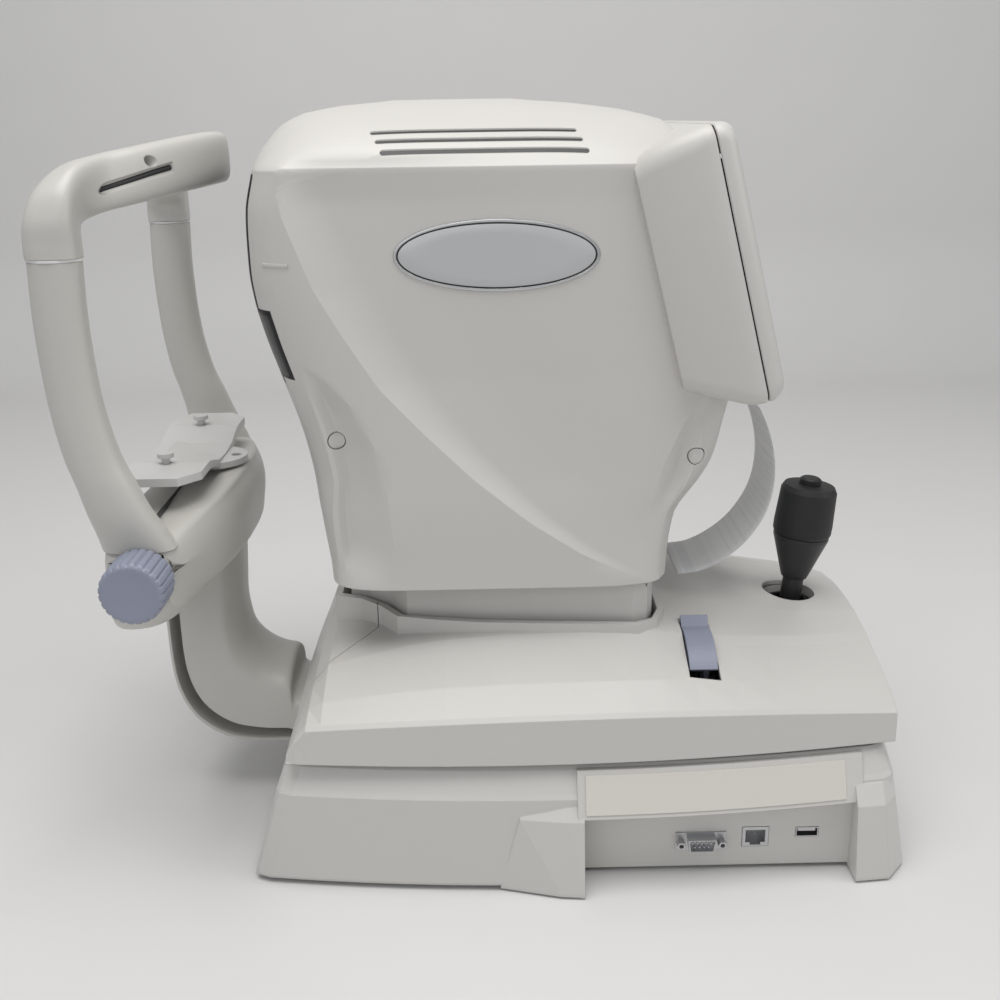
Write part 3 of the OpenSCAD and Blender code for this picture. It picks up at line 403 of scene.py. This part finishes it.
def half_ring(z):
    """Plan points of one side of the head at height z, from the front centre to the rear centre."""
    front, rear = soft_look(z, FRONT_X), soft_look(z, REAR_X)
    half, square = soft_look(z, HALF_Y), look(z, SQUARE)
    mid, reach = (front + rear) / 2, (rear - front) / 2
    flank = half * 0.88

    def x_on(y, side):
        return mid + side * reach * max(0.0, 1 - (abs(y) / half) ** square) ** (1 / square)

    def y_on(x):
        return half * max(0.0, 1 - abs((x - mid) / reach) ** square) ** (1 / square)
    points = []
    front_stop = min(FRONT_HALF, flank * 0.94)
    door_stop = min(DOOR_HALF, flank * 0.6)
    for i in range(9):
        y = front_stop * i / 8
        points.append((x_on(y, -1), y))
    for i in range(1, 5):
        y = front_stop + (flank - front_stop) * i / 4
        points.append((x_on(y, -1), y))
    start, end = points[-1][0], x_on(flank, 1)
    marks = [start]
    for curve in (SCOOP, BAND_LOW, BAND_HIGH, RECESS):
        marks.append(min(max(look(z, curve), marks[-1] + 1.5), end - 8))
    marks.append(end)
    # over the roof the marks spread evenly
    even = step(404, 430, z)
    marks = [m * (1 - even) + (start + (end - start) * i / 5) * even for i, m in enumerate(marks)]
    for k in range(5):
        parts = (10, 8, 8, 14, 8)[k]
        for i in range(1, parts + 1):
            x = marks[k] + (marks[k + 1] - marks[k]) * i / parts
            points.append((x, y_on(x) - flank_depth(x, z) * step(0, 10, x - start) * step(0, 12, end - x)))
    for i in range(1, 5):
        y = flank + (door_stop - flank) * i / 4
        points.append((x_on(y, 1), y))
    for i in range(1, 7):
        y = door_stop * (1 - i / 6)
        points.append((x_on(y, 1), y))
    return points


# Heights of the rings of the head skin
HEAD_Z = ([172 + 2 * i for i in range(3)] + [180 + 4.8 * i for i in range(8)]
          + [218.5 + 4.9 * i for i in range(12)] + [277.5, 281, 285, 288.5, 292, 296]
          + [300 + 4 * i for i in range(28)]
          + [410.6, 414, 416, 417.4, 419, 421, 424, 428, 432, 436, 440, 443, 446, 448, 450, 451.6, 452.6])
FRONT_COLUMNS = 8
DOOR_COLUMNS = 6
HEAD_COLUMNS = len(half_ring(300))


def in_zone(i, j, z_low, z_high, first, last):
    z = (HEAD_Z[i] + HEAD_Z[i + 1]) / 2
    return z_low < z < z_high and first <= j < last


def zone_of(i, j):
    """Which piece a quad of the head skin belongs to."""
    if in_zone(i, j, 296, 414, 0, FRONT_COLUMNS) or in_zone(i, j, 298, 340, 0, FRONT_COLUMNS + 3):
        return "front"
    if in_zone(i, j, 218.5, 277.5, HEAD_COLUMNS - 1 - DOOR_COLUMNS, HEAD_COLUMNS - 1):
        return "door"
    if in_zone(i, j, 277.5, 285, HEAD_COLUMNS - 1 - DOOR_COLUMNS, HEAD_COLUMNS - 1):
        return "slot"
    return "shell"


def head_skin(name, zone, side, both=False):
    points, faces, index = [], [], {}

    def vertex(i, j, s):
        key = (i, j, s if j not in (0, HEAD_COLUMNS - 1) else 0)
        if key not in index:
            x, y = HEAD_RINGS[i][j]
            index[key] = len(points)
            points.append(at(x, -y * s, HEAD_Z[i]))
        return index[key]
    for s in ((1, -1) if both else (side,)):
        for i in range(len(HEAD_Z) - 1):
            for j in range(HEAD_COLUMNS - 1):
                if zone_of(i, j) == zone:
                    corners = ((i, j), (i, j + 1), (i + 1, j + 1), (i + 1, j))
                    faces.append([vertex(a, b, s) for a, b in corners][::s])
        if zone == "shell":
            top = len(HEAD_Z) - 1
            faces.append([vertex(top, j, s) for j in range(HEAD_COLUMNS)][::s])
    mesh = bpy.data.meshes.new(name)
    mesh.from_pydata([tuple(p) for p in points], [], faces)
    mesh.validate()
    smooth_mesh(mesh, 22)
    return mesh


def thick(obj, amount, offset=-1.0):
    modifier = obj.modifiers.new("wall", "SOLIDIFY")
    modifier.thickness = amount * MM
    modifier.offset = offset
    modifier.use_even_offset = False
    return obj


HEAD_RINGS = [half_ring(z) for z in HEAD_Z]
def vent_span(k):
    """Front x, rear x and distance from the centre plane of one roof slot."""
    return -68.0 + 3 * k, 45.0 + 3 * k, 68.5 + 7.0 * k


def vent_cutters(side):
    """Three long slots cut straight down through the roof slope."""
    made = []
    for k in range(3):
        low, high, middle = vent_span(k)
        outline = []
        for end, start in ((low + 1.5, PI / 2), (high - 1.5, -PI / 2)):
            for i in range(9):
                a = start + PI * i / 8
                outline.append((end + 1.5 * math.cos(a), -side * middle + 1.5 * math.sin(a)))
        made.append(plain_object("cutter", prism("cutter", outline, 412, 450)))
    return made


def roof_z(x, y):
    """Height of the roof slope over a point in plan."""
    low, high = 416.0, 452.0
    for _ in range(30):
        mid = (low + high) / 2
        if flank_y(x, mid) > y:
            low = mid
        else:
            high = mid
    return low


SCREW_SPOTS = {"front": (-95, 264), "rear": (116, 251)}


def screw_wells(side):
    """Round pockets for the screw caps in the scoops."""
    made = []
    for x, z in SCREW_SPOTS.values():
        y_out, y_in = (-110, -60) if side > 0 else (60, 110)
        made.append(plain_object("cutter", prism("cutter", circle(x, z, 5.3, 40), y_out, y_in, "xz")))
    return made


def vent_shade_strip(side, tag, k):
    """Black strip just below the roof in one slot, painted shade that makes the slot read deep."""
    low, high, middle = vent_span(k)
    rings = []
    for i in range(25):
        x = low + 0.2 + (high - low - 0.4) * i / 24
        near, far = middle - 1.7, middle + 1.7
        z_near, z_far = roof_z(x, near), roof_z(x, far)
        section = [(near, z_near - 0.9), (far, z_far - 0.9), (far, z_far - 2.2), (near, z_near - 2.2)]
        rings.append([(x, -side * y, z) for y, z in section])
    name = "vent_insert_%s_%d" % (tag, k)
    make_object(name, ring_mesh(name, rings), "head", BLACK)


def dome(name, x, z, radius, side, sink, mat):
    """Flush cap that follows the flank."""
    rings = []
    for share, out in ((1.0, -2.0), (1.0, -0.5), (0.93, sink), (0.8, sink)):
        spots = circle(x, z, radius * share, 48)
        rings.append([(px, -side * (flank_y(px, pz) + out), pz) for px, pz in spots])
    return make_object(name, ring_mesh(name, rings, 30), "head", mat)


def eye_rib(name, side):
    """Small raised bar that marks eye level."""
    profile = ((364.9, -0.8), (365.2, 0.7), (366.9, 0.7), (367.2, -0.8))
    rings = []
    for i in range(9):
        x = -131 + 16 * i / 8
        skin = flank_y(x, 366)
        rings.append([(x, -side * (skin + out), z) for z, out in profile])
    return make_object(name, ring_mesh(name, rings, 30), "head", SHELL)


for side, side_name in ((1, "right"), (-1, "left")):
    for spot, (x, z) in SCREW_SPOTS.items():
        dome("screw_cap_%s_%s" % (spot, side_name), x, z, 4.8, side, -0.25, SHELL)
    rib = eye_rib("eye_rib_" + side_name, side)
    if side > 0:
        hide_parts("shell_trim")
    for k in range(3):
        vent_shade_strip(side, side_name, k)
    shell = make_object("head_shell_" + side_name + "_skin", head_skin("head_" + side_name, "shell", side),
                        "head", SHELL)
    thick(shell, 2.6)
    apply_modifiers(shell)
    cut(shell, vent_cutters(side) + screw_wells(side), 22)
    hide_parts("head_shell_" + side_name)
front = make_object("front_bezel_skin", head_skin("front", "front", 1, True), "head", GLOSS)
thick(front, 2.0)
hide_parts("front_bezel")
door = make_object("printer_door_skin", head_skin("door", "door", 1, True), "door", SHELL)
thick(door, 2.4)
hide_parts("printer_door")

# ---------------------------------------------------------------- monitor
LEAN = math.atan(0.2555)
SEAM = (152.0, 289.0)


def panel_point(depth, y, s):
    """A point by its depth in front of the bezel seam, across and up the leaning panel."""
    c, n = math.cos(LEAN), math.sin(LEAN)
    return (SEAM[0] + depth * c - s * n, y, SEAM[1] + depth * n + s * c)


def panel_ring(depth, half, low, high, radius, bow=0.0):
    """Rounded rectangle in the leaning panel's plane."""
    ring = []
    for cx, cy, start in ((half - radius, high - radius, 0), (-half + radius, high - radius, 90),
                          (-half + radius, low + radius, 180), (half - radius, low + radius, 270)):
        for i in range(9):
            a = math.radians(start + 90 * i / 8)
            y, s = cx + radius * math.cos(a), cy + radius * math.sin(a)
            ring.append(panel_point(depth - bow * (y / half) ** 2, y, s))
    return ring


# Depth, half width, low edge, high edge and corner radius of each ring
MONITOR_SECTIONS = [(-44, 90.5, 14, 143, 10), (-40, 93, 12, 146, 11), (-36, 95.5, 10, 148, 12),
                    (-28, 99, 6, 150, 12), (-19, 102, 2, 152, 12), (-11, 103.8, -1.5, 152.8, 11),
                    (-6, 104, -2.5, 153.4, 10), (-1.5, 103.6, -2.6, 153.2, 9),
                    (-0.5, 103.0, -2.0, 152.6, 8.5)]
monitor_mesh = ring_mesh("monitor_back", [panel_ring(*s) for s in MONITOR_SECTIONS], 40)
monitor_back = make_object("monitor_rear_shell", monitor_mesh, "head", SHELL)
bevelled(monitor_back, 0.5, 2)
BEZEL_SECTIONS = [(0.2, 102.6, -1.6, 152.3, 8.5), (0.7, 103.4, -2.4, 153.0, 9),
                  (3.0, 103.6, -2.4, 153.2, 9.5), (6.0, 102.9, -1.4, 152.6, 10),
                  (8.5, 101.4, 0.2, 151.4, 10.5), (10.2, 99.4, 2.4, 149.8, 10),
                  (11.0, 96.6, 5.0, 147.4, 9), (11.1, 91.0, 14.5, 138.6, 4), (10.7, 89.4, 16.2, 137.2, 2.5),
                  (8.7, 88.3, 17.4, 136.2, 1.5), (3.0, 88.3, 17.4, 136.2, 1.5)]
bezel_mesh = ring_mesh("bezel", [panel_ring(*s) for s in BEZEL_SECTIONS], 40, caps=False)
bezel = make_object("monitor_bezel_skin", bezel_mesh, "head", SHELL)
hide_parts("monitor_bezel")

# ---------------------------------------------------------------- badges
# Half length, half height and height over the flank of each ring
BADGE_PARTS = (
    ("rim", SILVER, [(57.2, 19.9, -1.0), (57.2, 19.9, 0.2), (56.8, 19.5, 0.9), (56.2, 18.9, 1.1),
                     (55.5, 18.2, 1.0), (55.2, 17.9, 0.5)]),
    ("line", BLACK, [(55.4, 18.1, 0.55), (54.2, 17.0, 0.55)]),
    ("face", PLATE, [(54.5, 17.3, 0.3), (54.3, 17.1, 0.95), (53.8, 16.6, 1.15), (40, 12.3, 1.2),
                     (24, 7.4, 1.2), (8, 2.5, 1.2), (0.8, 0.25, 1.2)]),
)
for side, tag in ((1, "right"), (-1, "left")):
    for part, mat, profile in BADGE_PARTS:
        rings = []
        for a_half, b_half, out in profile:
            spots = [(a_half * x, 370 + b_half * z) for x, z in circle(0, 0, 1, 120)]
            rings.append([(x, -side * (flank_y(x, z) + out), z) for x, z in spots])
        badge_mesh = ring_mesh("badge", rings, 30, caps=part == "face")
        plate = make_object("badge_%s_%s" % (part, tag), badge_mesh, "head", mat)
        if part == "rim" and side > 0:
            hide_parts("oval_badges")


# ---------------------------------------------------------------- rest frame
def tube_mesh(name, sections, steps=6, squareness=2.4, count=48):
    """A smooth sweep: each section is its centre, its first half-axis and its second half-axis."""
    rings = []
    for s in refine(sections, steps):
        centre, a, b = Vector(s[0:3]), Vector(s[3:6]), Vector(s[6:9])
        ring = []
        for k in range(count):
            u, v = superellipse(2 * PI * k / count, 1, 1, squareness)
            ring.append(tuple(centre + a * u + b * v))
        rings.append(ring)
    return ring_mesh(name, rings, 40)


# Height, centre x, half depth and half width
POST = [(212, -206, 21, 12), (222, -209, 19.5, 12), (236, -214, 17.5, 12), (252, -219, 16, 12),
        (270, -225, 15, 11.5), (300, -230, 14.2, 11), (340, -232, 14, 11), (374.2, -231, 14, 11)]
for side, tag in ((-1, "right"), (1, "left")):
    sections = [(x, side * (117 - max(0, 240 - z) * 0.2), z, a, 0, 0, 0, b, 0) for z, x, a, b in POST]
    post = make_object("post_%s_skin" % tag, tube_mesh("post", sections), "base", SHELL_FRAME)
    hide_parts("post_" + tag)


def arc_x(y):
    return -170 - 47 * (y / 88) ** 2


def arc_section(y):
    slope = -94 * y / 88 ** 2
    length = math.hypot(1, slope)
    return (arc_x(y), y, 421.5 - 10.8 * (y / 88) ** 2, 8 / length, -8 * slope / length, 0, 0, y * 0.04, -15)


BAR_END = [(-231, -117, 375.8, 14, 0, 0, 0, 11, 0), (-231, -117, 383, 14, 0, 0, 0, 11, 0),
           (-230.5, -115.8, 392, 13.4, -1, 0, 0, 11.6, -4.5),
           (-228.5, -110.5, 400.5, 12, -3, 0, 0, 9.5, -10.5), (-223, -99, 407.5, 9, -5, 0, 0, 4.4, -14.4)]


def mirrored(s):
    return (s[0], -s[1], s[2], s[3], -s[4], s[5], s[6], -s[7], s[8])


def groove(radius, sink):
    """Sections of a channel along the near half of the bar's inner face."""
    sections = []
    for y, drop in ((-52, 0.6), (-62, 0), (-72, -1), (-82, -2), (-92, -3), (-100, -3.6)):
        slope = -94 * y / 88 ** 2
        length = math.hypot(1, slope)
        x, z = arc_x(y) + (8 - sink) / length, 421.5 - 10.8 * (y / 88) ** 2 + drop
        sections.append((x, y - (8 - sink) * slope / length, z, radius, 0, 0, 0, 0, radius))
    return sections


far_end = [mirrored(s) for s in reversed(BAR_END)]
bar_mesh = tube_mesh("bar", BAR_END + [arc_section(y) for y in range(-84, 85, 12)] + far_end, 5, 3.4, 56)
bar = make_object("forehead_bar_skin", bar_mesh, "base", SHELL_FRAME)


def round_bar(name, y, z, radius, low, high):
    """Short cylinder along X."""
    return prism(name, circle(y, z, radius, 32), low, high, "yz")


channel = plain_object("cutter", tube_mesh("channel", groove(2.9, 0.0), 4, 2.0, 24))
hole = plain_object("cutter", round_bar("hole", -68, 422, 3.1, -206, -170))
cut(bar, [channel, hole], 40)
make_object("bar_screw", round_bar("bar_screw", -68, 422, 2.9, -208, -204), "base", BLACK)
# Black tube sunk deeper in the channel: painted shade in the groove
channel_shade_mesh = tube_mesh("channel_painted_shade", groove(1.6, 2.4), 4, 2.0, 24)
make_object("bar_channel_painted_shade", channel_shade_mesh, "base", BLACK)
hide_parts("forehead_bar")

# Yoke under the chin plate: y, patient x, patient top z, crest x, crest z, bulge x, underside z
YOKE = [(0, -223, 223, -164, 229, -160, 162), (30, -223, 223, -165, 228, -161, 162),
        (60, -225, 222, -170, 225, -167, 160), (90, -227, 219, -178, 221, -176, 161),
        (108, -227, 216, -184, 217, -182, 165), (117, -226, 213, -188, 214, -187, 171),
        (121.4, -224, 209, -191, 210, -190, 177)]


def yoke_ring(y, a, b, c, d, e, f):
    """Rounded section of the yoke at one y."""
    cage = [(a + 4, f - 5), (a, f + 4), (a, (f + b) / 2), (a + 1, b - 4), (a + 5, b),
            ((a + c) / 2, (b + d) / 2), (c - 5, d), (c, d - 5), (e, d - 16),
            (e - 1, f + 34), (e - 6, f + 18), (-190, f + 5), (-205, f - 4)]
    n = len(cage)
    ring = []
    for i in range(n):
        quad = [cage[(i - 1) % n], cage[i], cage[(i + 1) % n], cage[(i + 2) % n]]
        for k in range(5):
            x, z = catmull(quad, 1 + k / 5)
            ring.append((x, y, z))
    return ring


yoke_stations = [(-r[0], *r[1:]) for r in reversed(YOKE[1:])] + YOKE
yoke_mesh = ring_mesh("yoke", [yoke_ring(*r) for r in refine(yoke_stations, 5)], 42)
yoke = make_object("chinrest_yoke_skin", yoke_mesh, "base", SHELL_FRAME)
bevelled(yoke, 1.2, 3, 50)
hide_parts("chinrest_yoke")
seam_outline = [(-200.3, -112), (-199.7, -112), (-199.7, 112), (-200.3, 112)]
make_object("yoke_seam", prism("yoke_seam", seam_outline, 222.2, 226.0), "base", BLACK)

# Column: outer x, outer z, inner x, inner z from the base up
COLUMN = [(-128, 39, -128, 74), (-141, 39, -141, 76), (-146, 39, -143, 90), (-165, 39, -153, 94),
          (-185, 42, -161, 99), (-200, 50, -167, 105), (-211, 62, -171, 112), (-218, 78, -173, 122),
          (-221, 98, -174, 134), (-221.5, 130, -173, 150), (-221.5, 170, -171, 180)]
# Share of the way in from the outer face, and half width there
COLUMN_EDGE = [(0, 28.5), (0.02, 31.5), (0.06, 33.2), (0.4, 34), (0.72, 33.4), (0.82, 31.5), (0.9, 26),
               (0.96, 18), (1, 8)]


def column_ring(s, low, high):
    edge = [(f, w) for f, w in refine(COLUMN_EDGE, 2) if low <= f <= high]
    side = [(s[0] + (s[2] - s[0]) * f, -w, s[1] + (s[3] - s[1]) * f) for f, w in edge]
    return side + [(x, -y, z) for x, y, z in reversed(side)]


stations = refine(COLUMN, 6)
column_mesh = ring_mesh("column", [column_ring(s, 0.155, 1.0) for s in stations], 42)
column = make_object("chinrest_column_skin", column_mesh, "base", SHELL_FRAME)
back_mesh = ring_mesh("column_back", [column_ring(s, 0.0, 0.145) for s in stations], 42)
column_back = make_object("column_cover_skin", back_mesh, "base", SHELL_FRAME)
# Black body set just inside the gap between the two: painted shade in the seam
seam_shade_rings = []
for s in stations:
    inner = (s[2], 0, s[3])
    seam_shade_rings.append([tuple(a + (b - a) * 0.02 for a, b in zip(p, inner)) for p in column_ring(s, 0.08, 0.3)])
make_object("column_seam_shade", ring_mesh("column_seam_shade", seam_shade_rings, 42), "base", BLACK)
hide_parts("chinrest_column")
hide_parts("column_cover")

# Fluted knob
KNOB = [(-124.2, 15.5, 0), (-124.0, 17.2, 0.4), (-125.2, 18.4, 0.9), (-146.4, 18.3, 1.0), (-147.8, 17.6, 0.7),
        (-148.7, 16.4, 0.2), (-149.0, 15.0, 0), (-148.6, 13.0, 0), (-148.5, 3.0, 0)]
knob_rings = []
for y, radius, flute in KNOB:
    ring = []
    for k in range(192):
        a = 2 * PI * k / 192
        reach = radius - flute * max(0.0, math.cos(24 * a)) ** 2
        ring.append((-203 + reach * math.cos(a), y, 198 + reach * math.sin(a)))
    knob_rings.append(ring)
knob_mesh = ring_mesh("knob", knob_rings, 30)
knob = make_object("chinrest_knob_skin", knob_mesh, "chin_knob", BLUE)
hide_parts("chinrest_knob")

# Printout: leaves the slot under the monitor and curls forward
PRINTOUT = [(128, 281.5), (149, 281), (162, 270), (171, 252), (176, 232), (176, 212), (171, 194),
            (160, 177), (146, 165), (131, 157.5), (116, 155.5)]
strip_points, strip_faces = [], []
path = refine(PRINTOUT, 5)
for i, (x, z) in enumerate(path):
    for k in range(9):
        y = -28.75 + 57.5 * k / 8
        cup = 0.5 * (1 - (y / 28.75) ** 2) * step(0, 12, i)
        strip_points.append(at(x - cup, y, z))
for i in range(len(path) - 1):
    for k in range(8):
        strip_faces.append((i * 9 + k, i * 9 + k + 1, (i + 1) * 9 + k + 1, (i + 1) * 9 + k))
strip_mesh = bpy.data.meshes.new("printout")
strip_mesh.from_pydata([tuple(p) for p in strip_points], [], strip_faces)
strip_mesh.shade_smooth()
strip = make_object("paper_strip_skin", strip_mesh, "head", PAPER)
thick(strip, 0.25, 0)
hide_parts("paper_strip")


# ---------------------------------------------------------------- floor, light and camera
def stage_material(name, colour, rough):
    mat, tree, shader = material(name, colour, rough)
    surface_detail(tree, shader, colour, rough, 0.04, 3.0, 0.01, 0)
    return mat


def backdrop():
    """Table top that rolls up into a wall far behind."""
    turns = [PI / 2 * i / 10 for i in range(1, 11)]
    bend = [(1.2 + 0.25 * math.sin(a), 0.25 - 0.25 * math.cos(a)) for a in turns]
    profile = [(-3.0, 0.0), (1.2, 0.0)] + bend + [(1.45, 3.0)]
    points, faces = [], []
    for y, z in profile:
        points += [(-4.0, y, z), (4.0, y, z)]
    for i in range(len(profile) - 1):
        faces.append((2 * i, 2 * i + 1, 2 * i + 3, 2 * i + 2))
    mesh = bpy.data.meshes.new("backdrop")
    mesh.from_pydata(points, [], faces)
    mesh.shade_smooth()
    obj = plain_object("backdrop", mesh)
    mesh.materials.append(stage_material("backdrop_pale", (0.70, 0.695, 0.685), 0.55))


def area_light(name, place, target, size, power, colour=(1, 1, 1)):
    data = bpy.data.lights.new(name, "AREA")
    data.shape = "RECTANGLE"
    data.size, data.size_y = size
    data.energy = power
    data.color = colour
    obj = bpy.data.objects.new(name, data)
    bpy.context.scene.collection.objects.link(obj)
    obj.location = place
    obj.rotation_mode = "QUATERNION"
    obj.rotation_quaternion = (Vector(target) - Vector(place)).to_track_quat("-Z", "Y")


def camera():
    """The eye stands level with the head's top, square to the flank, and looks slightly down."""
    data = bpy.data.cameras.new("camera")
    data.lens, data.sensor_width = 41.4, 36.0
    obj = bpy.data.objects.new("camera", data)
    bpy.context.scene.collection.objects.link(obj)
    yaw, pitch, roll = math.radians(0.6), math.radians(18.4), math.radians(-0.9)
    ahead = Vector((math.sin(yaw) * math.cos(pitch), math.cos(yaw) * math.cos(pitch), -math.sin(pitch)))
    right = Vector((math.cos(yaw), -math.sin(yaw), 0))
    up = right.cross(ahead)
    turned_right = right * math.cos(roll) + up * math.sin(roll)
    turned_up = up * math.cos(roll) - right * math.sin(roll)
    basis = Matrix((turned_right, turned_up, -ahead)).transposed()
    obj.matrix_world = Matrix.Translation(at(-6.97, -729.4, 442.0)) @ basis.to_4x4()
    bpy.context.scene.camera = obj


backdrop()
camera()
area_light("key_ceiling", (-0.1, -0.25, 1.75), (0, 0, 0.25), (1.5, 1.1), 22, (1.0, 0.985, 0.96))
area_light("fill_front", (-0.7, -1.7, 0.95), (0, 0, 0.25), (1.2, 1.0), 4.6, (0.98, 0.99, 1.0))
area_light("side_right", (1.5, -0.5, 1.0), (0, 0, 0.25), (0.7, 1.0), 5)
world = bpy.data.worlds.new("room")
bpy.context.scene.world = world
world.use_nodes = True
world.node_tree.nodes["Background"].inputs["Color"].default_value = (0.93, 0.95, 1.0, 1)
world.node_tree.nodes["Background"].inputs["Strength"].default_value = 0.34
bpy.context.scene.view_settings.view_transform = "Standard"
